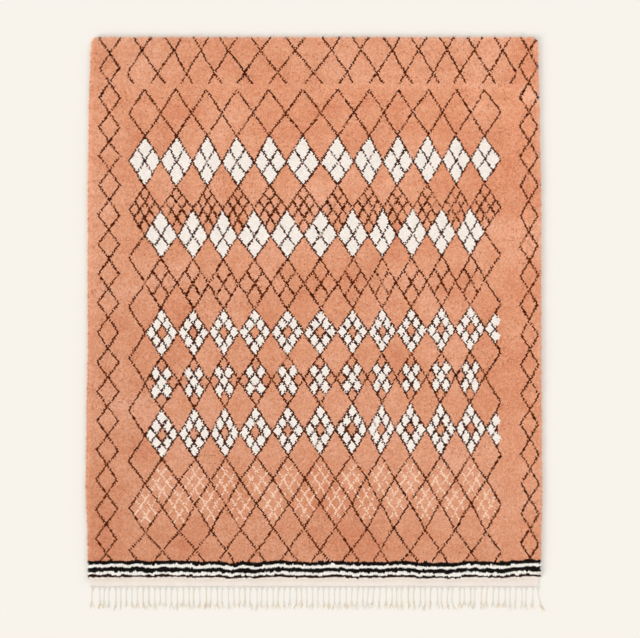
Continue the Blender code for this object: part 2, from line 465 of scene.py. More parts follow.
def edge_at(y, column):
    """How far an edge stands from the middle at each y, eased between the rows."""
    table = np.array(EDGES)
    down = np.clip(FAR_END - np.asarray(y, float), 0.0, table[-1, 0])
    start = np.clip(np.searchsorted(table[:, 0], down, side="right") - 1, 0, len(table) - 2)
    part = smooth((down - table[start, 0]) / (table[start + 1, 0] - table[start, 0]))
    return blend(table[start, column], table[start + 1, column], part)


def lumps_at(x, y):
    """The pile's lumps, read from a coarse grid of the noise that the solid has."""
    xs, ys = (np.arange(low - LUMP_STEP, high + 2.0 * LUMP_STEP, LUMP_STEP)
              for low, high in ((CLOTH_LOW.x, CLOTH_HIGH.x), (CLOTH_LOW.y, CLOTH_HIGH.y)))
    grid = np.array([[sum(height * noise.noise(Vector((gx / across, gy / across, layer)))
                          for layer, (across, height) in enumerate(LUMPS))
                      for gx in xs] for gy in ys])
    u, v = (x - xs[0]) / LUMP_STEP, (y - ys[0]) / LUMP_STEP
    column, row = u.astype(int), v.astype(int)
    low, high = (blend(grid[row + up, column], grid[row + up, column + 1], u - column)
                 for up in (0, 1))
    return blend(low, high, v - row)


def round_corner(x, y):
    """Moves points near the two far corners onto the corners' rounds."""
    edge = np.where(x < 0.0, edge_at(y, 1), edge_at(y, 2))
    deep_x = CORNER_RADIUS - (edge - np.abs(x))
    deep_y = CORNER_RADIUS - (FAR_END - y)
    near = (deep_x > 0.0) & (deep_y > 0.0)
    scale = np.maximum(deep_x, deep_y) / np.maximum(np.hypot(deep_x, deep_y), 1e-9)
    moved_x = np.sign(x) * (edge - CORNER_RADIUS + deep_x * scale)
    moved_y = FAR_END - CORNER_RADIUS + deep_y * scale
    return np.where(near, moved_x, x), np.where(near, moved_y, y)


# ---- the pattern's rule

def between(lines, values):
    """Where each value lies among its own rising lines, in steps of one line."""
    below = np.clip((lines <= values[:, None]).sum(axis=1) - 1, 0, lines.shape[1] - 2)
    low, high = (np.take_along_axis(lines, below[:, None] + up, 1)[:, 0] for up in (0, 1))
    return below + (values - low) / (high - low)


def lattice_place(x, down, rows, columns):
    """Lattice steps across (2 for each column) and along (1 for each row)."""
    over = np.clip((x - columns[0][0]) / (columns[-1][0] - columns[0][0]), 0.0, 1.0)
    weights = ((1.0 - over) * (1.0 - 2.0 * over), 4.0 * over * (1.0 - over),
               over * (2.0 * over - 1.0))
    lines = sum(weight[:, None] * np.array([row[part] for row in rows])[None, :]
                for part, weight in enumerate(weights))
    along = between(lines, down)
    deep = np.clip(along / (len(rows) - 1), 0.0, 1.0)[:, None]
    top, foot = np.array(columns).T
    step = between(blend(top, foot, deep), x)
    last = len(columns) - 1
    across = np.where(step < 1.0, step - 1.0, np.where(step > last - 1.0, step + last - 3.0,
                                                       2.0 * (step - 1.0)))
    return across, along


def inside(centre_u, centre_v, last_u, last_v):
    """Whether a lozenge centred there is part of the lattice."""
    fits = (centre_u >= 0) & (centre_u <= last_u) & (centre_v >= 1) & (centre_v <= last_v)
    return fits & ((centre_u + centre_v) % 2 == 1)


def lattice(x, down, rows, columns, line, thin_line):
    """Where the lattice puts each wool: its dark lines, and its fills' lines and cells."""
    across, along = lattice_place(x, down, rows, columns)
    first, second = (across + along) / 2.0, (across - along) / 2.0
    step_a, step_b = np.floor(first).astype(int), np.floor(second).astype(int)
    part_a, part_b = first - step_a, second - step_b
    last_u, last_v = 2 * (len(columns) - 3), len(rows) - 1
    centre_u, centre_v = step_a + step_b + 1, step_a - step_b
    own = inside(centre_u, centre_v, last_u, last_v)
    steep = 0.5 * math.hypot(last_u / (columns[-2][0] - columns[1][0]),
                             last_v / (rows[-1][1] - rows[0][1]))
    found = {wool: np.zeros(len(x), bool) for wool in ("dark", "white", "cream")}
    for part, turn in ((part_a, 1), (part_b, -1)):
        aside = np.where(part < 0.5, -1, 1)
        next_to = inside(centre_u + aside, centre_v + turn * aside, last_u, last_v)
        off = np.minimum(part, 1.0 - part) / steep
        found["dark"] |= (off < line / 2.0) & (own | next_to)
    for row, (*_, fill) in enumerate(rows):
        parts, wool, share, cells = FILLS[fill]
        if parts == 1:
            continue
        here = own & (centre_v == row)
        half = (centre_u == last_u + 1) & (centre_v == row) & (row in HALF_LOZENGES)
        for cell in cells:
            near = here | half if sum(cell) < 2 else here
            found["white"] |= (near & (np.floor(part_a * parts) == cell[0])
                               & (np.floor(part_b * parts) == cell[1]))
        here |= half & (across < last_u + HALF_REACH)
        for part in (part_a, part_b):
            nearest = np.round(part * parts)
            off = np.abs(part - nearest / parts) / steep
            on_line = (off < share * thin_line / 2.0) & (nearest > 0) & (nearest < parts)
            found[wool] |= here & on_line
    return found


def chain(x, down, side, line):
    """Whether each point is on a chain of single lozenges."""
    top_x, foot_x, half_width, first, pitch = side
    middle = top_x + (foot_x - top_x) * down / STRIPES[0][0]
    phase = (down - first) / pitch
    phase -= np.floor(phase)
    spread = half_width * (1.0 - np.abs(2.0 * phase - 1.0))
    slope = math.cos(math.atan(2.0 * half_width / pitch))
    return np.abs(np.abs(x - middle) - spread) * slope < line / 2.0


def partings(x, y):
    """Short bowed lines where the pile parts, 1 on the line."""
    rng = np.random.default_rng(41)
    found = np.zeros(len(x))
    for _ in range(PARTINGS):
        mid_x, mid_y, half, bow, deep = (rng.uniform(*span) for span in PARTING)
        over = (x - mid_x) / half
        off = np.abs(y - (mid_y + bow * (1.0 - over * over)))
        on_line = (np.abs(over) < 1.0) & (off < PARTING_WIDTH / 2.0)
        found = np.maximum(found, np.where(on_line, deep * (1.0 - over ** 4), 0.0))
    return found


def knot_rows(pile):
    """How many rows of knots the pile has, and the height of one."""
    rows = round((FAR_END - PILE_END) / pile.row)
    return rows, (FAR_END - PILE_END) / rows


def beaten(x, y, pile):
    """Y once the rows of knots are beaten down unevenly, most of all the striped ones."""
    down = FAR_END - y
    first, last = STRIPES[0][0], FAR_END - PILE_END
    wave = pile.wave * layered(x, 0.0 * y, STRIPE_WAVE) * (1.0 - 0.5 * ease(first, last, down))
    uneven = 1.3 * grain(x, y, *UNEVEN) + 0.3 * beat(np.floor(x / pile.knot), 0, 30)
    wave += pile.uneven * uneven * ease(last, last - 0.008, down)
    calm = pile.calm * ease(0.0, 0.05, down) * grain(x, y, *CALM_WAVE)
    return y + blend(calm, wave, ease(first - 0.020, first + 0.004, down))


def laid(colours, where, wool):
    """The colours, with a wool laid on the marked knots."""
    return np.where(where[:, None], wool, colours)


def salmon_ground(x, y, knot, row, chance, wools):
    """The ground's mottled salmon, lighter towards the far end and the right, painted lighter
    along its right and far rims, and flecked.
    """
    patch_x, patch_y, reach = RUBBED
    rubbed = ease(reach, 0.0, np.hypot(x - patch_x, y - patch_y))
    abrash = grain(x * 0.25, y, *ABRASH)
    tone = 0.5 + 0.34 * layered(x, y, MOTTLE) + 0.16 * abrash + 0.9 * rubbed
    tone = np.clip(tone, 0.0, 1.0)[:, None]
    salmon, pale, deep = (np.array(wool) for wool in (wools.salmon, wools.pale, wools.deep))
    colours = np.where(tone < 0.5, blend(deep, salmon, 2.0 * tone),
                       blend(salmon, pale, 2.0 * tone - 1.0))
    # lighter towards the far end, less so in its last stretch, and lighter towards the right
    broad_tone = 0.992 + 0.085 * y / FAR_END - 0.045 * ease(1.2, 1.5, y)
    broad_tone += 0.032 * x / CLOTH_HIGH.x + 0.030 * ease(0.9, 1.2, x)
    # single knots lighter or darker at random: partly the wool's own tone, partly painted
    # highlight and shade on their tops
    tone_and_painted_light = 1.0 + KNOT_LIGHT * beat(knot, row, 19)
    # painted light: the ground is painted lighter along its right rim and its far end
    tone_and_painted_light *= 1.0 + PAINTED_RIM_LIGHT * ease(0.026, 0.004, np.minimum(edge_at(y, 2) - x, FAR_END - y))
    colours = colours * broad_tone[:, None] * tone_and_painted_light[:, None] ** np.array(SATURATION)
    flecked = chance < 0.012 + 0.05 * ease(-0.2, 0.7, grain(x, y, *FLECKED))
    return laid(colours, flecked, blend(colours, np.array(wools.fleck), FLECK_SHARE))


def wool_colours(x, y, pile, wools):
    """The colour of the wool at each point of the rug, knot by knot, before it is beaten."""
    high = knot_rows(pile)[1]
    row, knot = np.floor((FAR_END - y) / high), np.floor(x / pile.knot)
    level = FAR_END - (row + 0.5) * high
    cell = np.floor(x / JOG_LENGTH + 0.37 * row)
    px = x + pile.wander * layered(x, level, STRAY_ACROSS)
    px = px + KNOT_STRAY * beat(knot, row, 5) + pile.jog * beat(cell, row, 25)
    down = FAR_END + PATTERN_DOWN - (level + pile.wander * layered(x, level, STRAY_ALONG))
    thick = 1.0 + 0.15 * grain(x, y, *THICKNESS) + 0.14 * beat(cell, row, 26)
    line, thin_line = pile.line * thick, pile.thin_line * thick
    chance, fine = (0.5 + 0.5 * beat(knot, row, seed) for seed in (7, 8))
    colours = salmon_ground(x, y, knot, row, chance, wools)

    field = lattice(px, down, FIELD_ROWS, FIELD_COLUMNS, line, thin_line)
    top = lattice(px, down, TOP_ROWS, TOP_COLUMNS, line, thin_line)
    in_field = (down > FIELD_START) & (down < PATTERN_END)
    dark, white, cream = (field[wool] & in_field for wool in ("dark", "white", "cream"))
    dark |= top["dark"] & (down < TOP_LEGS_END)
    for side in CHAINS:
        dark |= chain(px, down, side, CHAIN_LINE * line) & (down < PATTERN_END)

    shown = chance > MISSING + 0.5 * ease(0.55, 0.90, grain(x, y, *WORN))
    fine = fine[:, None]
    undyed = 0.97 + 0.03 * fine
    brown = np.array(wools.brown)
    ink = np.array(wools.dark) * (0.6 + 1.6 * fine ** 2)
    rusty = np.clip(0.25 + 0.30 * grain(x, y, *RUST) + 0.25 * beat(knot, row, 37), 0.0, 0.8)
    smoky = blend(ink, np.array(wools.smoke), SMOKE_SHARE)
    ink = laid(blend(ink, brown, rusty[:, None]), white, smoky)
    hatch = blend(colours, np.array(wools.cream), HATCH_SHARES[0] + HATCH_SHARES[1] * fine)
    colours = laid(colours, white, np.array(wools.white) * undyed)
    colours = laid(colours, cream & (chance > MISSING), hatch)
    colours = laid(colours, dark & ~shown, blend(colours, brown, WORN_SHARE))
    colours = laid(colours, dark & shown, ink)

    down = FAR_END - y + STRIPE_STRAY * grain(x, y, *STRIPE_EDGE)
    for start, stop, wool in STRIPES:
        tint = np.array(getattr(wools, wool)) * undyed
        if wool in ("black", "umber"):
            tint *= 0.6 + 0.8 * fine
        colours = laid(colours, (down >= start) & (down < stop), tint)
    colours = colours * (0.965 + 0.07 * fine)
    return colours * (1.0 - PARTING_SHADE * partings(x, y))[:, None]


# ---- meshes

def put(items, field, values, kind=np.float32):
    """Sets one field of all items from an array."""
    items.foreach_set(field, np.asarray(values, kind).ravel())


def take(items, field, width, kind=np.float32):
    """One field of all items as an array, so many values wide."""
    found = np.empty(width * len(items), kind)
    items.foreach_get(field, found)
    return found.reshape(-1, width)


def points_of(mesh):
    """A mesh's points as an array."""
    return take(mesh.vertices, "co", 3).astype(float)


def corners_of(mesh):
    """The point at each corner of each face."""
    return take(mesh.loops, "vertex_index", 1, np.int32)[:, 0]


def bare_mesh(name, points):
    """A mesh of loose points."""
    mesh = bpy.data.meshes.new(name)
    mesh.vertices.add(len(points))
    put(mesh.vertices, "co", points)
    return mesh


def mesh_from(name, points, triangles, base):
    """A mesh from an array of points, one of triangles, and one many-sided face."""
    mesh = bare_mesh(name, points)
    corners = np.concatenate((triangles.ravel(), base))
    mesh.loops.add(len(corners))
    put(mesh.loops, "vertex_index", corners, np.int32)
    mesh.polygons.add(len(triangles) + 1)
    put(mesh.polygons, "loop_start", 3 * np.arange(len(triangles) + 1), np.int32)
    mesh.update(calc_edges=True)
    mesh.validate()
    return mesh


def point_object(name, points, numbers, edges=None):
    """Loose points, or points joined by edges, each with its own numbers."""
    mesh = bare_mesh(name, points)
    if edges is not None:
        mesh.edges.add(len(edges))
        put(mesh.edges, "vertices", edges, np.int32)
    for label, (kind, values) in numbers.items():
        field = {"FLOAT": "value", "FLOAT_VECTOR": "vector", "FLOAT_COLOR": "color"}[kind]
        put(mesh.attributes.new(label, kind, "POINT").data, field, values)
    mesh.update()
    return bpy.data.objects.new(name, mesh)


def with_alpha(colours):
    """Colours with a full fourth channel."""
    return np.concatenate((np.clip(colours, 0.0, 1.0), np.ones((len(colours), 1))), 1)


def flat_map(mesh):
    """A map that looks straight down on the piece and fills the square."""
    places = points_of(mesh)[:, :2]
    low, high = places.min(axis=0), places.max(axis=0)
    spread = ((places - low) / (high - low))[corners_of(mesh)]
    put(mesh.uv_layers.new(name="OFBake").data, "uv", spread)


def grid_triangles(rows, columns):
    """Upward triangles of a grid of points, cut so that every second point is a peak."""
    place = np.arange(rows * columns).reshape(rows, columns)
    a, b, c, d = (corner.ravel() for corner in (place[:-1, :-1], place[:-1, 1:],
                                                place[1:, 1:], place[1:, :-1]))
    even = np.add.outer(np.arange(rows - 1), np.arange(columns - 1)) % 2 == 0
    even = even.ravel()[:, None]
    one = np.where(even, np.stack((a, d, b), 1), np.stack((a, d, c), 1))
    two = np.where(even, np.stack((b, d, c), 1), np.stack((a, c, b), 1))
    return np.concatenate((one, two))


def wall_triangles(top, foot):
    """Walls between a ring of points and the ring under it, both clockwise from above."""
    next_top, next_foot = np.roll(top, -1), np.roll(foot, -1)
    return np.concatenate((np.stack((top, next_top, next_foot), 1),
                           np.stack((top, next_foot, foot), 1)))


def grid_normals(shape, points):
    """The way each point of a grid faces, from its neighbours on all sides."""
    grid = points.reshape(*shape, 3)
    found = np.cross(np.gradient(grid, axis=1), -np.gradient(grid, axis=0)).reshape(-1, 3)
    return found / np.linalg.norm(found, axis=1)[:, None]


def closed_grid(name, shape, points, colours, base_height, normals=None):
    """A mesh of a grid of points over a flat base, or under one, with creased rims.

    With normals it is pile: they shade the grid, so that neighbouring stretches meet
    without a line, and each face takes the colour of the one knot's top that it touches.
    """
    rows, columns = shape
    place = np.arange(rows * columns).reshape(shape)
    ring = np.concatenate((place[0, :-1], place[:-1, -1], place[-1, :0:-1], place[:0:-1, 0]))
    foot = rows * columns + np.arange(len(ring))
    base = points[ring].copy()
    base[:, 2] = base_height
    faces = np.concatenate((grid_triangles(rows, columns), wall_triangles(ring, foot)))
    if base_height > points[:, 2].mean():
        faces, foot = faces[:, ::-1], foot[::-1]
    mesh = mesh_from(name, np.concatenate((points, base)), faces, foot)
    rim = np.ones(len(points) + len(base), bool)
    rim[place[1:-1, 1:-1].ravel()] = False
    creased = rim[take(mesh.edges, "vertices", 2, np.int32)].all(axis=1)
    put(mesh.attributes.new("sharp_edge", "BOOLEAN", "EDGE").data, "value", creased, bool)

    corners = corners_of(mesh)
    wool = np.concatenate((colours, FOOT_SHADE * colours[ring]))[corners]
    if normals is not None:
        on_grid = 6 * (rows - 1) * (columns - 1)
        grid_corners = corners[:on_grid]
        row, column = np.divmod(grid_corners.reshape(-1, 3), columns)
        is_top = (row + column) % 2 == 0
        top = grid_corners.reshape(-1, 3)[is_top]
        shade = np.where(is_top.ravel(), 1.0, GAP_SHADE)[:, None]
        wool[:on_grid] = np.repeat(colours[top], 3, axis=0) * shade
        shading = np.zeros((len(corners), 3))
        shading[:on_grid] = normals[grid_corners]
        mesh.normals_split_custom_set(shading.tolist())
    put(mesh.attributes.new("wool", "FLOAT_COLOR", "CORNER").data, "color", with_alpha(wool))
    return mesh


def outline_grid(pitch, y_from, y_to, inset=0.0):
    """Rows and columns of points that fill the rug's outline between two places along it."""
    rows = round((y_from - y_to) / pitch[1]) + 1
    columns = round((CLOTH_HIGH.x - CLOTH_LOW.x) / pitch[0]) + 1
    row, column = (place.ravel() for place in np.indices((rows, columns)))
    y = y_from + (y_to - y_from) * row / (rows - 1)
    left, right = edge_at(y, 1) - inset, edge_at(y, 2) - inset
    x = -left + (left + right) * column / (columns - 1)
    return (rows, columns), row, column, x, y


def pile_height(x, y, pile):
    """The pile's height without its knots, as the solid has it."""
    inset = np.minimum.reduce((edge_at(y, 1) + x, edge_at(y, 2) - x, FAR_END - y, y - PILE_END))
    return (pile.height + lumps_at(x, y)) * np.interp(np.maximum(inset, 0.0), *np.array(ROLL).T)


def knotted(pile, wools, first_row, last_row):
    """Points, colours and normals of a stretch of pile between two of its rows of points.

    Two rows of points make one row of knots. Every second point is a knot's top.
    """
    rows, row_height = knot_rows(pile)
    step = row_height / 2.0
    start, stop = max(first_row - 1, 0), min(last_row + 1, 2 * rows)
    shape, row, column, x, y = outline_grid((pile.knot, step), FAR_END - start * step,
                                            FAR_END - stop * step)
    row = row + start
    kept = (row >= first_row) & (row <= last_row)
    colours = wool_colours(x[kept], y[kept] - step / 2.0, pile, wools)
    high = pile_height(x, y, pile)
    inner = (row > 0) & (row < 2 * rows) & (column > 0) & (column < shape[1] - 1)
    x, y = round_corner(x, beaten(x, y, pile))
    clump = grain(x, y, *CLUMP)
    high += np.where((row + column) % 2 == 0, 0.4, -0.6) * pile.relief * (1.0 + 0.2 * clump)
    high += pile.ragged * (0.8 * beat(column, row, 22) + 0.2 * clump)
    high -= PARTING_DEPTH * partings(x, y)
    shift = np.where(inner, 1.0, 0.25) * pile.ragged
    x = x + shift * beat(column, row, 23)
    y = y + shift * beat(column, row, 24)
    points = np.stack((x, y, high), 1)
    normals = grid_normals(shape, points)
    return (last_row - first_row + 1, shape[1]), points[kept], colours, normals[kept]


# ---- materials

def node(tree, kind, *links, **settings):
    """Adds a node, sets its properties, and links or sets its inputs in order.

    An input that is given a node takes that node's first output.
    """
    made = tree.nodes.new(kind)
    for name, value in settings.items():
        setattr(made, name, value)
    for socket, value in links:
        if isinstance(value, bpy.types.Node):
            value = value.outputs[0]
        if isinstance(value, bpy.types.NodeSocket):
            tree.links.new(value, made.inputs[socket])
        else:
            made.inputs[socket].default_value = value
    return made


def new_material(name, roughness, sheen):
    """A matt wool material: its tree, shader, object coordinates and the points' own colour."""
    made = bpy.data.materials.new(name)
    made.use_nodes = True
    tree = made.node_tree
    shader = tree.nodes["Principled BSDF"]
    for label, value in {"Roughness": roughness, "Metallic": 0.0, "Specular IOR Level": 0.06,
                         "Sheen Weight": sheen, "Sheen Roughness": 0.45}.items():
        shader.inputs[label].default_value = value
    where = node(tree, "ShaderNodeTexCoord").outputs["Object"]
    wool = node(tree, "ShaderNodeAttribute", attribute_name="wool").outputs["Color"]
    return made, tree, shader, where, wool


def varied(tree, base, where, scale, low, high):
    """The base colour, lighter and darker in fine grain."""
    speck = node(tree, "ShaderNodeTexNoise", ("Vector", where), ("Scale", scale),
                 ("Detail", 3.0), ("Roughness", 0.6))
    amount = node(tree, "ShaderNodeMapRange", ("Value", speck), ("From Min", 0.3),
                  ("From Max", 0.7), ("To Min", low), ("To Max", high))
    grey = node(tree, "ShaderNodeCombineColor", (0, amount), (1, amount), (2, amount))
    return node(tree, "ShaderNodeMix", (0, 1.0), (6, base), (7, grey), data_type="RGBA",
                blend_type="MULTIPLY").outputs[2]


def finish_wool(tree, shader, colour, relief, distance, strength):
    """Gives the shader its colour and its bump."""
    bump = node(tree, "ShaderNodeBump", ("Height", relief), ("Distance", distance),
                ("Strength", strength))
    tree.links.new(colour, shader.inputs["Base Color"])
    tree.links.new(bump.outputs[0], shader.inputs["Normal"])


def wool_material(name, roughness, stretch, distance, strength, shades):
    """Wool whose colour its points carry, with fine fibres that run mostly one way."""
    made, tree, shader, where, wool = new_material(name, roughness, 0.06)
    turned = node(tree, "ShaderNodeMapping", ("Vector", where), ("Scale", stretch))
    fibres = node(tree, "ShaderNodeTexNoise", ("Vector", turned), ("Scale", 1.0),
                  ("Detail", 4.0), ("Roughness", 0.65), ("Distortion", 0.8))
    finish_wool(tree, shader, varied(tree, wool, turned, 1.0, *shades), fibres, distance, strength)
    return made


def pile_wool():
    """Cut pile, the same for every piece of it."""
    return bpy.data.materials.get("knotted_wool") or wool_material(
        "knotted_wool", 0.92, (1000.0, 200.0, 500.0), 0.0022, 0.70, (0.86, 1.19))


def back_wool():
    """The back of the rug: rows of knots' backs on the woven ground."""
    made, tree, shader, where, wool = new_material("ground_weave", 0.9, 0.05)
    rows = node(tree, "ShaderNodeTexWave", ("Vector", where), ("Scale", 62.0),
                ("Distortion", 1.2), ("Detail", 2.0), ("Detail Scale", 3.0),
                wave_type="BANDS", bands_direction="Y").outputs["Fac"]
    finish_wool(tree, shader, varied(tree, wool, where, 300.0, 0.88, 1.04), rows, 0.0012, 0.7)
    return made


# ---- geometry nodes

def new_tree(name, inputs):
    """An empty tree with named inputs: the way in, and the node that holds them."""
    tree = bpy.data.node_groups.new(name, "GeometryNodeTree")
    tree.interface.new_socket("Geometry", in_out="INPUT", socket_type="NodeSocketGeometry")
    for label, value in inputs.items():
        kind = "NodeSocketInt" if isinstance(value, int) else "NodeSocketFloat"
        tree.interface.new_socket(label, in_out="INPUT", socket_type=kind).default_value = value
    tree.interface.new_socket("Material", in_out="INPUT", socket_type="NodeSocketMaterial")
    tree.interface.new_socket("Geometry", in_out="OUTPUT", socket_type="NodeSocketGeometry")
    return tree, tree.nodes.new("NodeGroupInput").outputs


def close_tree(tree, geometry, material):
    """Ends a tree: real geometry, smooth, with its material."""
    real = node(tree, "GeometryNodeRealizeInstances", (0, geometry))
    smoothed = node(tree, "GeometryNodeSetShadeSmooth", (0, real))
    painted = node(tree, "GeometryNodeSetMaterial", (0, smoothed), ("Material", material))
    node(tree, "NodeGroupOutput", (0, painted))
    return tree


def maths(tree, operation, one, two):
    """One sum of two numbers."""
    return node(tree, "ShaderNodeMath", (0, one), (1, two), operation=operation)


def vectors(tree, operation, one, socket, two):
    """One sum of a vector and another, or a number."""
    return node(tree, "ShaderNodeVectorMath", (0, one), (socket, two), operation=operation)


def stored(tree, name, kind="FLOAT"):
    """What each point carries under a name."""
    return node(tree, "GeometryNodeInputNamedAttribute", (0, name), data_type=kind)


def drawn(tree, low, high, seed):
    """A number, or a vector, drawn for each point."""
    kind, first, out = ("FLOAT_VECTOR", 0, 0) if isinstance(low, tuple) else ("FLOAT", 2, 1)
    return node(tree, "FunctionNodeRandomValue", (first, low), (first + 1, high), ("Seed", seed),
                data_type=kind).outputs[out]


def tube(tree, given, path):
    """A closed tube of yarn along a path."""
    ring = node(tree, "GeometryNodeCurvePrimitiveCircle", ("Resolution", given["Sides"]),
                ("Radius", given["Radius"]))
    return node(tree, "GeometryNodeCurveToMesh", ("Curve", path), ("Profile Curve", ring),
                ("Fill Caps", True))


def set_on_points(tree, given, thing, turn, size):
    """Ends a tree with a thing on each point."""
    placed = node(tree, "GeometryNodeInstanceOnPoints", ("Points", given["Geometry"]),
                  ("Instance", thing), ("Rotation", turn), ("Scale", size))
    return close_tree(tree, placed, given["Material"])


def tuft_tree():
    """Tapered tufts on points, each leaning the way its point's aim says."""
    tree, given = new_tree("tufts", {
        "Length": 0.0130, "Root": 0.0034, "Tip": 0.0, "Sides": 5, "Rows": 2, "Bend": 0.0,
        "Spread": 0.2, "Smallest": 0.7, "Largest": 1.2, "Seed": 1})
    cone = node(tree, "GeometryNodeMeshCone", ("Vertices", given["Sides"]),
                ("Side Segments", given["Rows"]), ("Radius Top", given["Tip"]),
                ("Radius Bottom", given["Root"]), ("Depth", given["Length"]))
    height = node(tree, "ShaderNodeSeparateXYZ", (0, node(tree, "GeometryNodeInputPosition")))
    up = maths(tree, "DIVIDE", height.outputs["Z"], given["Length"])
    bend = maths(tree, "MULTIPLY", maths(tree, "MULTIPLY", up, up), given["Bend"])
    bent = node(tree, "GeometryNodeSetPosition", (0, cone),
                ("Offset", node(tree, "ShaderNodeCombineXYZ", (0, bend))))
    stray = drawn(tree, (-1.0, -1.0, -1.0), (1.0, 1.0, 1.0), given["Seed"])
    leaning = vectors(tree, "ADD", stored(tree, "aim", "FLOAT_VECTOR"), 1,
                      vectors(tree, "SCALE", stray, "Scale", given["Spread"]))
    turned = node(tree, "FunctionNodeAxisAngleToRotation", ("Axis", (0.0, 0.0, 1.0)),
                  ("Angle", drawn(tree, 0.0, TAU, given["Seed"])))
    upright = node(tree, "FunctionNodeAlignRotationToVector", ("Rotation", turned),
                   ("Vector", leaning), axis="Z")
    return set_on_points(tree, given, bent, upright,
                         drawn(tree, given["Smallest"], given["Largest"], given["Seed"]))


def yarn_tree():
    """Yarns along guide lines: each guide gets several yarns, twisted round it."""
    tree, given = new_tree("yarns", {"Yarns": 3, "Sides": 6, "Radius": 0.002, "Twist": 1.0})
    guides = node(tree, "GeometryNodeMeshToCurve", (0, given["Geometry"]))
    several = node(tree, "GeometryNodeDuplicateElements", ("Geometry", guides),
                   ("Amount", given["Yarns"]), domain="SPLINE")
    order = maths(tree, "DIVIDE", several.outputs["Duplicate Index"], given["Yarns"])
    start = maths(tree, "ADD", maths(tree, "MULTIPLY", order, TAU), stored(tree, "phase"))
    along = node(tree, "GeometryNodeSplineParameter").outputs["Factor"]
    angle = maths(tree, "ADD", start, maths(tree, "MULTIPLY", along, given["Twist"]))
    aside, above = (maths(tree, "MULTIPLY", maths(tree, operation, angle, 0.0), stored(tree, half))
                    for operation, half in (("COSINE", "half_width"), ("SINE", "half_height")))
    level = vectors(tree, "CROSS_PRODUCT", node(tree, "GeometryNodeInputTangent"), 1,
                    (0.0, 0.0, 1.0))
    offset = vectors(tree, "ADD", vectors(tree, "SCALE", level, "Scale", aside), 1,
                     node(tree, "ShaderNodeCombineXYZ", (2, above)))
    moved = node(tree, "GeometryNodeSetPosition", (0, several), ("Offset", offset))
    thinned = node(tree, "GeometryNodeSetCurveRadius", (0, moved),
                   ("Radius", stored(tree, "girth")))
    return close_tree(tree, tube(tree, given, thinned), given["Material"])


def knot_tree():
    """A small coil of yarn on each point, its axis along the rug."""
    tree, given = new_tree("knots", {
        "Turns": 2.4, "Steps": 12, "Sides": 6, "Radius": 0.0021, "Coil": 0.0039,
        "Length": 0.0078, "Flatness": 0.88, "Seed": 3})
    coil = node(tree, "GeometryNodeCurveSpiral", ("Resolution", given["Steps"]),
                ("Rotations", given["Turns"]), ("Start Radius", given["Coil"]),
                ("End Radius", given["Coil"]), ("Height", given["Length"]))
    flat = node(tree, "ShaderNodeCombineXYZ", (0, 1.0), (1, given["Flatness"]), (2, 1.0))
    pressed = node(tree, "GeometryNodeTransform", (0, coil), ("Scale", flat))
    laid_down = node(tree, "GeometryNodeTransform", (0, tube(tree, given, pressed)),
                     ("Rotation", (math.radians(90.0), 0.0, 0.0)))
    return set_on_points(tree, given, laid_down,
                         drawn(tree, (-0.15, -3.1, -0.5), (0.15, 3.1, 0.5), given["Seed"]),
                         drawn(tree, 0.88, 1.08, given["Seed"]))


def grown(name, source, tree, **values):
    """Runs a tree on an object and gives its result as a plain mesh."""
    bpy.context.scene.collection.objects.link(source)
    growth = source.modifiers.new(name, "NODES")
    growth.node_group = tree
    for item in tree.interface.items_tree:
        if item.in_out == "INPUT" and item.name in values:
            growth[item.identifier] = values[item.name]
    graph = bpy.context.evaluated_depsgraph_get()
    mesh = bpy.data.meshes.new_from_object(source.evaluated_get(graph))
    source.modifiers.remove(growth)
    points = source.data
    bpy.data.objects.remove(source)
    bpy.data.meshes.remove(points)
    mesh.name = name
    places = points_of(mesh)
    places[:, 2] = np.maximum(places[:, 2], LOWEST)
    put(mesh.vertices, "co", places)
    mesh.update()
    return mesh


# ---- places for small things

def rim_places(rng):
    """Points just inside the rim and the way out from each."""
    places, aims = [], []
    for column, way in ((1, -1.0), (2, 1.0)):
        y = np.arange(PILE_END + 0.003, FAR_END - 0.004, RIM_PITCH)
        y = y + rng.uniform(-0.5, 0.5, len(y)) * RIM_PITCH
        inset = rng.uniform(*RIM_INSETS, len(y))
        x = way * (edge_at(y, column) - inset)
        places.append(np.stack((x, y), 1))
        aims.append(np.tile((way, 0.0), (len(y), 1)))
    for y_line, column_inset, way in ((FAR_END, 0.004, 1.0), (PILE_END, 0.012, -1.0)):
        x = np.arange(-edge_at(y_line, 1) + column_inset, edge_at(y_line, 2) - column_inset,
                      RIM_PITCH)
        x = x + rng.uniform(-0.5, 0.5, len(x)) * RIM_PITCH
        y = y_line - way * rng.uniform(*RIM_INSETS, len(x))
        places.append(np.stack((x, y), 1))
        aims.append(np.tile((0.0, way), (len(x), 1)))
    places, aims = np.concatenate(places), np.concatenate(aims)
    x, y = round_corner(places[:, 0], places[:, 1])
    return np.stack((x, y), 1), aims


# ---- the pieces

def settings(context):
    """The rug's settings."""
    scene = context.scene
    return scene.rug_pile, scene.rug_colours, scene.rug_fringe, scene.rug_stage


def piece(name, mesh, material, replaced):
    """Puts a finished mesh in the scene as a piece of the rug."""
    triangles = sum(len(face.vertices) - 2 for face in mesh.polygons)
    if not 0 < triangles < 200000:
        raise RuntimeError(f"{name} has {triangles} triangles, outside what a piece may have")
    flat_map(mesh)
    mesh.materials.clear()
    mesh.materials.append(material)
    mesh.shade_smooth()
    made = bpy.data.objects.new(name, mesh)
    bpy.context.scene.collection.objects.link(made)
    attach(made, BODY)
    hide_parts(replaced)
    print(f"{name}: {triangles} triangles")
    return made


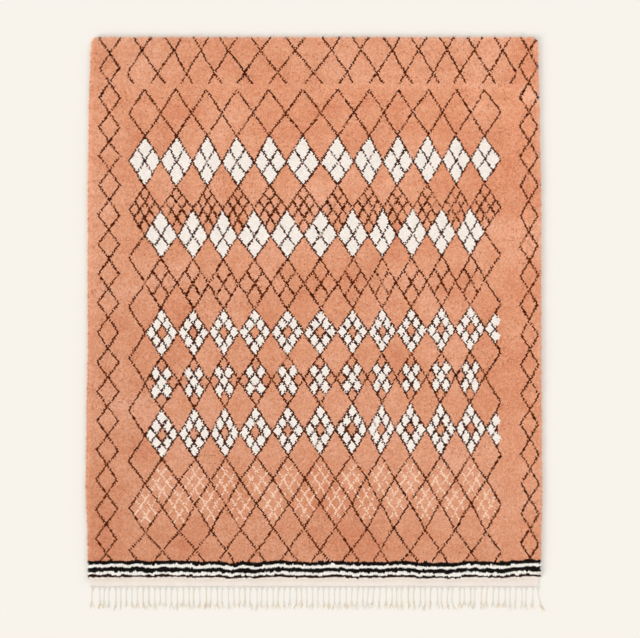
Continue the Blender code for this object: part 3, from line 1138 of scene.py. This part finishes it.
class RUG_OT_ground_cloth(bpy.types.Operator):
    """Weave the ground, with the backs of the knots on its underside"""
    bl_idname = "rug.ground_cloth"
    bl_label = "Ground cloth"

    def execute(self, context):
        pile, wools, _, _ = settings(context)
        shape, row, column, x, y = outline_grid(GROUND_PITCH, FAR_END - GROUND_INSET, BAND_END,
                                                GROUND_INSET)
        x, y = round_corner(x, y)
        low = GROUND_ROUGH * (1.0 + beat(column, row, 31)) * 0.5
        plain, (knots, bare) = np.array(wools.band), BACK_WOOL
        colours = knots * wool_colours(x, y, pile, wools) + bare * plain
        colours = laid(colours, y < PILE_END, plain)
        mesh = closed_grid("ground_cloth", shape, np.stack((x, y, low), 1), colours, GROUND)
        piece("ground_cloth", mesh, back_wool(), "rug_cloth")
        return {"FINISHED"}


class RUG_OT_pile(bpy.types.Operator):
    """Knot the pile, in stretches from the far end to the striped rows"""
    bl_idname = "rug.pile"
    bl_label = "Knotted pile"

    def execute(self, context):
        pile, wools, _, _ = settings(context)
        rows, row_height = knot_rows(pile)
        stops = [2 * round(FIELD_END * part / 3.0 / row_height) for part in range(4)] + [2 * rows]
        names = ("pile_far", "pile_middle", "pile_near", "pile_stripes")
        for name, first, last in zip(names, stops, stops[1:]):
            shape, points, colours, normals = knotted(pile, wools, first, last)
            mesh = closed_grid(name, shape, points, colours, GROUND, normals)
            piece(name, mesh, pile_wool(), "rug_cloth")
        return {"FINISHED"}


class RUG_OT_flat_band(bpy.types.Operator):
    """Weave the flat band between the pile and the fringe"""
    bl_idname = "rug.flat_band"
    bl_label = "Flat band"

    def execute(self, context):
        wools = settings(context)[1]
        shape, row, column, x, y = outline_grid(BAND_PITCH, PILE_END + BAND_LAP, BAND_END)
        brick = (column + row // 2) % 2
        high = BAND_TOP - BAND_DIPS[0] * brick - BAND_DIPS[1] * (row % 2)
        high += 0.0003 * grain(x, y, 0.03, 33)
        high = np.where((row == 0) | (row == shape[0] - 1), GROUND + 0.0003, high)
        x = x + 0.0016 * grain(x * 0.0, y, 0.006, 34)
        tint = np.array(wools.band) * (0.97 + 0.03 * grain(x, y, 0.05, 35))[:, None]
        colours = tint * np.where(row % 2 == 0, 1.0, BAND_SHADE)[:, None]
        mesh = closed_grid("flat_band", shape, np.stack((x, y, high), 1), colours, GROUND)
        cloth = wool_material("flat_weave", 0.88, (300.0, 900.0, 300.0), 0.0007, 0.4, (0.88, 1.12))
        piece("flat_band", mesh, cloth, "rug_cloth")
        return {"FINISHED"}


def tufted(name, flat, high, aims, colours, pile, **values):
    """Tufts of pile on points that are beaten down with the rows they stand in."""
    places = np.column_stack((flat[:, 0], beaten(flat[:, 0], flat[:, 1], pile), high))
    source = point_object(name + "_points", places, {
        "aim": ("FLOAT_VECTOR", aims), "wool": ("FLOAT_COLOR", with_alpha(colours))})
    mesh = grown(name, source, tuft_tree(), Material=pile_wool(), **values)
    piece(name, mesh, pile_wool(), "rug_cloth")


class RUG_OT_rim_tufts(bpy.types.Operator):
    """Let locks of pile lean out over the rim"""
    bl_idname = "rug.rim_tufts"
    bl_label = "Rim tufts"

    def execute(self, context):
        pile, wools, _, _ = settings(context)
        rng = np.random.default_rng(51)
        flat, ways = map(np.concatenate, zip(rim_places(rng), rim_places(rng)))
        low = rng.uniform(*RIM_HEIGHTS, len(flat))
        lift = rng.uniform(*RIM_LIFTS, len(flat)) + (low < RIM_LOW) * 0.15
        colours = wool_colours(flat[:, 0], flat[:, 1], pile, wools)
        colours[ways[:, 1] < 0.0] = wools.ivory
        tufted("rim_tufts", flat, low, np.column_stack((ways, lift)), colours, pile,
               Length=0.0130, Root=0.0034, Tip=0.0014, Bend=0.0030, Spread=0.26,
               Smallest=0.80, Largest=1.10, Seed=52)
        return {"FINISHED"}


class RUG_OT_yarn_ends(bpy.types.Operator):
    """Scatter loose yarn ends over the pile"""
    bl_idname = "rug.yarn_ends"
    bl_label = "Yarn ends"

    def execute(self, context):
        pile, wools, _, _ = settings(context)
        rng = np.random.default_rng(61)
        y = rng.uniform(PILE_END + 0.010, FAR_END - 0.010, pile.ends)
        x = rng.uniform(-1.0, 1.0, pile.ends) * (np.minimum(edge_at(y, 1), edge_at(y, 2)) - 0.012)
        colours = wool_colours(x, y, pile, wools) * rng.uniform(0.88, 1.10, (pile.ends, 1))
        aims = np.column_stack((rng.normal(0.0, 0.8, pile.ends), rng.normal(-0.2, 0.8, pile.ends),
                                np.ones(pile.ends)))
        tufted("yarn_ends", np.column_stack((x, y)), pile_height(x, y, pile) - END_ROOT, aims,
               colours, pile, Length=0.0072, Root=0.0014, Sides=3, Rows=1, Spread=0.20, Seed=62)
        return {"FINISHED"}


def strand_draws():
    """Each strand's root X, lean, sway, length and fullness, drawn as its solid draws them."""
    rng = random.Random(23)
    strays = [rng.uniform(*STRAND_STRAY) for _ in range(STRANDS)]
    strays[0] = strays[-1] = 0.0
    pitch = (LAST_STRAND - FIRST_STRAND) / (STRANDS - 1)
    rows = []
    for index, stray in enumerate(strays):
        x = FIRST_STRAND + index * pitch + stray
        drift = DRIFT * noise.noise(Vector((x / DRIFT_SPAN, 0.0, 0.5)))
        lean = END_LEAN if index == STRANDS - 1 else drift + rng.uniform(*STRAND_LEAN)
        sway, reach = rng.uniform(*STRAND_SWAY), rng.uniform(*STRAND_LENGTH)
        rows.append((x, lean, sway, reach, rng.uniform(*STRAND_FULLNESS)))
    return np.array(rows)


def on_strands(draws, along):
    """X, Y, width and height of every strand at each place along it."""
    places, widths, heights = np.array(STRAND).T
    root, lean, sway, reach, fullness = (draws[:, [part]] for part in range(5))
    bent = np.maximum(along, 0.0)[None, :]
    x = root + lean * bent * bent + sway * np.sin(np.pi * bent)
    y = ROOT_Y - reach * along[None, :]
    return (x, y, fullness * np.interp(along, places, widths),
            fullness * np.interp(along, places, heights))


def spun(name, lines, colours, material, yarns=1, sides=4, radius=0.001, twist=0.0, **numbers):
    """Yarns spun along lines that all have as many points; numbers tell phase and size."""
    points = np.concatenate(lines)
    steps = np.arange(len(points)).reshape(len(lines), -1)
    fields = {label: ("FLOAT", numbers.get(label, 0.0) + np.zeros(len(points)))
              for label in ("phase", "half_width", "half_height")}
    fields["girth"] = ("FLOAT", numbers.get("girth", 1.0) + np.zeros(len(points)))
    fields["wool"] = ("FLOAT_COLOR", with_alpha(np.concatenate(colours)))
    edges = np.stack((steps[:, :-1].ravel(), steps[:, 1:].ravel()), 1)
    guides = point_object(name + "_guides", points, fields, edges)
    return grown(name, guides, yarn_tree(), Yarns=yarns, Sides=sides, Radius=radius, Twist=twist,
                 Material=material)


def twined_edge(wools, fringe, draws, yarn):
    """Two yarns twined along the end of the flat band, where the cords leave it."""
    steps = round((CLOTH_HIGH.x - CLOTH_LOW.x) / fringe.turn * TWINE_STEPS)
    x = np.linspace(-edge_at(BAND_END, 1), edge_at(BAND_END, 2), steps)
    y = (BAND_END + ROOT_Y) / 2.0 + 0.0016 * grain(x, x * 0.0, 0.05, 81)
    radius = fringe.twine
    tint = np.array(wools.twine) * (1.0 + 0.08 * grain(x, x * 0.0, 0.03, 82))[:, None]
    path = np.column_stack((x, y, np.full(steps, 2.0 * radius)))
    return spun("edge_twine", [path], [tint], yarn, yarns=2, radius=radius, half_width=radius,
                half_height=0.9 * radius, twist=(x[-1] - x[0]) / fringe.turn * TAU)


def gathered_warps(wools, fringe, draws, yarn):
    """The warps that run out of the band on both sides of each cord and into it."""
    part = np.linspace(0.0, 1.0, 6)
    rng = np.random.default_rng(91)
    meets = rng.uniform(*WARP_MEETS, fringe.warps)
    x, y, _, high = on_strands(draws, meets)
    first_y = BAND_END + WARP_LAP
    lines, tints = [], []
    for strand, row in enumerate(draws):
        for warp, aside in enumerate(np.linspace(-0.5, 0.5, fringe.warps)):
            start = row[0] + fringe.gather * (aside + rng.uniform(-0.06, 0.06))
            lines.append(np.column_stack((
                start + (x[strand, warp] - start) * smooth(part),
                first_y + (y[strand, warp] - first_y) * part,
                WARP_HEIGHT + (0.5 * high[strand, warp] - WARP_HEIGHT) * part)))
            tints.append(np.tile(np.array(wools.warp) * rng.uniform(0.88, 1.03), (len(part), 1)))
    return spun("fringe_roots", lines, tints, yarn, radius=WARP_RADIUS)


def warp_tints(wools, draws, tan):
    """Warp colours, tanned by the given share: one row for each strand."""
    rng = np.random.default_rng(72)
    stained = rng.uniform(0.0, 1.0, (len(draws), 1)) ** 3
    share = np.clip(tan[None, :] * (0.35 + 0.9 * rng.uniform(0.0, 1.0, (len(draws), 1)))
                    + 0.35 * stained, 0.0, 1.0)[:, :, None]
    tip = np.array(wools.tip) * rng.uniform(0.86, 1.12, (len(draws), 1, 1))
    return blend(np.array(wools.warp), tip, share)


def plied_cords(wools, fringe, draws, yarn):
    """The cords, each plied from its yarns, from inside the band to the knot."""
    along = np.linspace(CORD_START, KNOT, CORD_STEPS)
    x, y, width, height = on_strands(draws, along)
    phase = np.random.default_rng(71).uniform(0.0, TAU, len(draws))
    halves = [np.maximum(size / 2.0 - fringe.ply, least).ravel()
              for size, least in ((width, 0.0006), (height, 0.0004))]
    tints = warp_tints(wools, draws, CORD_TAN * np.maximum(along, 0.0))
    return spun("fringe_cords", np.stack((x, y, height / 2.0), 2), tints, yarn,
                yarns=fringe.plies, sides=5, radius=fringe.ply, twist=fringe.twist,
                phase=np.repeat(phase, CORD_STEPS), half_width=halves[0], half_height=halves[1])


def tied_knots(wools, fringe, draws, yarn):
    """The knot at the end of each cord."""
    x, y, _, _ = on_strands(draws, np.array([KNOT]))
    tints = warp_tints(wools, draws, np.array([KNOT_TAN]))[:, 0]
    places = np.column_stack((x, y, np.full(len(x), KNOT_HEIGHT)))
    knots = point_object("knot_points", places, {"wool": ("FLOAT_COLOR", with_alpha(tints))})
    return grown("fringe_knots", knots, knot_tree(), Material=yarn)


def loose_wisps(wools, fringe, draws, yarn):
    """Each cord's yarns past its knot, untwisted, some of them tanned and all uneven."""
    part = np.linspace(0.0, 1.0, 8)
    rng = np.random.default_rng(92)
    warp, tip = np.array(wools.warp), np.array(wools.tip)
    lines, tints = [], []
    for row in draws:
        stained, fork = rng.uniform(0.10, 0.95), rng.uniform(-0.25, 0.25)
        for _ in range(fringe.wisps):
            along = KNOT + (rng.uniform(*WISP_REACH) - KNOT) * part
            x, y, width, high = (value[0] for value in on_strands(row[None, :], along))
            aside = rng.uniform(-0.5, 0.5) + np.copysign(fork, rng.uniform(-1.0, 1.0))
            curl = fringe.fray * rng.normal(0.0, 0.22)
            curl = curl * np.sin(math.pi * part * rng.uniform(0.8, 2.2))
            fan = 0.005 + (1.9 * width.max() - 0.006) * part
            level = 0.5 * high + rng.uniform(-0.4, 0.4) * np.maximum(high - 2.0 * fringe.wisp, 0.0)
            lines.append(np.column_stack((x + aside * fan + curl * part, y,
                                          np.maximum(level, fringe.wisp))))
            tan = np.clip(stained * rng.uniform(0.2, 1.4), 0.0, 1.0) * ease(0.0, 0.5, part)
            tint = warp + (tip * rng.uniform(0.75, 1.1) - warp) * tan[:, None]
            tints.append(tint * rng.uniform(0.90, 1.02))
    return spun("fringe_tassels", lines, tints, yarn, radius=fringe.wisp,
                girth=np.tile(np.linspace(1.0, 0.5, len(part)), len(lines)))


class RUG_OT_fringe(bpy.types.Operator):
    """Ply the warp ends into cords, knot them and fray their tassels"""
    bl_idname = "rug.fringe"
    bl_label = "Fringe"

    def execute(self, context):
        _, wools, fringe, _ = settings(context)
        yarn = wool_material("warp_yarn", 0.85, (500.0, 260.0, 500.0), 0.0006, 0.4, (0.88, 1.10))
        draws = strand_draws()
        for make in (twined_edge, gathered_warps, plied_cords, tied_knots, loose_wisps):
            mesh = make(wools, fringe, draws, yarn)
            piece(mesh.name, mesh, yarn, "end_fringe")
        return {"FINISHED"}


class RUG_OT_lay_out(bpy.types.Operator):
    bl_idname = "rug.lay_out"
    bl_label = "Lay out"

    def execute(self, context):
        return {"FINISHED"}


class RUG_OT_stage(bpy.types.Operator):
    """Set the pale floor, the lights and the camera above the rug"""
    bl_idname = "rug.stage"
    bl_label = "Stage"

    def execute(self, context):
        stage = settings(context)[3]
        scene = context.scene
        mesh = bpy.data.meshes.new("floor")
        mesh.from_pydata([(x * FLOOR_REACH, y * FLOOR_REACH, FLOOR_LEVEL) for x, y in
                          ((-1, -1), (1, -1), (1, 1), (-1, 1))], [], [(0, 1, 2, 3)])
        paint = bpy.data.materials.new("pale_floor")
        paint.use_nodes = True
        shader = paint.node_tree.nodes["Principled BSDF"]
        shader.inputs["Base Color"].default_value = (*stage.floor, 1.0)
        shader.inputs["Roughness"].default_value = 1.0
        shader.inputs["Specular IOR Level"].default_value = 0.0
        mesh.materials.append(paint)
        floor = bpy.data.objects.new("floor", mesh)

        # The fine fringe takes light all round, so only the cloth shades the two side lights
        casters = bpy.data.collections.new("shadow_casters")
        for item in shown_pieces():
            if item.data.materials[0].name != "warp_yarn":
                casters.objects.link(item)
        lights = []
        for name, (spread, way) in SIDE_LIGHTS.items():
            light = bpy.data.lights.new(name, "SUN")
            light.energy = getattr(stage, name)
            light.angle = math.radians(spread)
            lights.append(bpy.data.objects.new(name, light))
            lights[-1].rotation_euler = Vector(way).to_track_quat("Z", "Y").to_euler()
            lights[-1].light_linking.blocker_collection = casters

        world = bpy.data.worlds.new("soft_room")
        world.use_nodes = True
        sky = world.node_tree.nodes["Background"]
        sky.inputs["Color"].default_value = (*stage.glow, 1.0)
        sky.inputs["Strength"].default_value = stage.fill
        scene.world = world

        lens = bpy.data.cameras.new("camera")
        lens.lens = stage.lens
        lens.clip_end = 100.0
        camera = bpy.data.objects.new("camera", lens)
        camera.location = (*VIEW_MIDDLE, stage.view * stage.lens / lens.sensor_width)
        scene.camera = camera
        for item in (floor, camera, *lights):
            scene.collection.objects.link(item)
        floor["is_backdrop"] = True
        scene.view_settings.view_transform = "Standard"
        return {"FINISHED"}


class RUG_PT_panel(bpy.types.Panel):
    """Sizes, colours and steps of the rug"""
    bl_label = "Beni ourain rug"
    bl_idname = "RUG_PT_panel"
    bl_space_type = "VIEW_3D"
    bl_region_type = "UI"
    bl_category = "Rug"

    def draw(self, context):
        for step in STEPS:
            self.layout.operator(step.bl_idname)
        for group in settings(context):
            box = self.layout.box()
            for name in group.__annotations__:
                box.prop(group, name)


STEPS = (RUG_OT_ground_cloth, RUG_OT_pile, RUG_OT_flat_band, RUG_OT_rim_tufts,
         RUG_OT_yarn_ends, RUG_OT_fringe, RUG_OT_lay_out, RUG_OT_stage)
GROUPS = {"rug_pile": RugPileSettings, "rug_colours": RugColours,
          "rug_fringe": RugFringeSettings, "rug_stage": RugStageSettings}
CLASSES = (*GROUPS.values(), *STEPS, RUG_PT_panel)


def register():
    for made in CLASSES:
        bpy.utils.register_class(made)
    for name, group in GROUPS.items():
        setattr(bpy.types.Scene, name, PointerProperty(type=group))


def unregister():
    for name in GROUPS:
        delattr(bpy.types.Scene, name)
    for made in reversed(CLASSES):
        bpy.utils.unregister_class(made)


def main():
    register()
    bpy.ops.rug.ground_cloth()
    bpy.ops.rug.pile()
    bpy.ops.rug.flat_band()
    bpy.ops.rug.rim_tufts()
    bpy.ops.rug.yarn_ends()
    bpy.ops.rug.fringe()
    bpy.ops.rug.lay_out()
    bpy.ops.rug.stage()


if __name__ == "__main__":
    main()
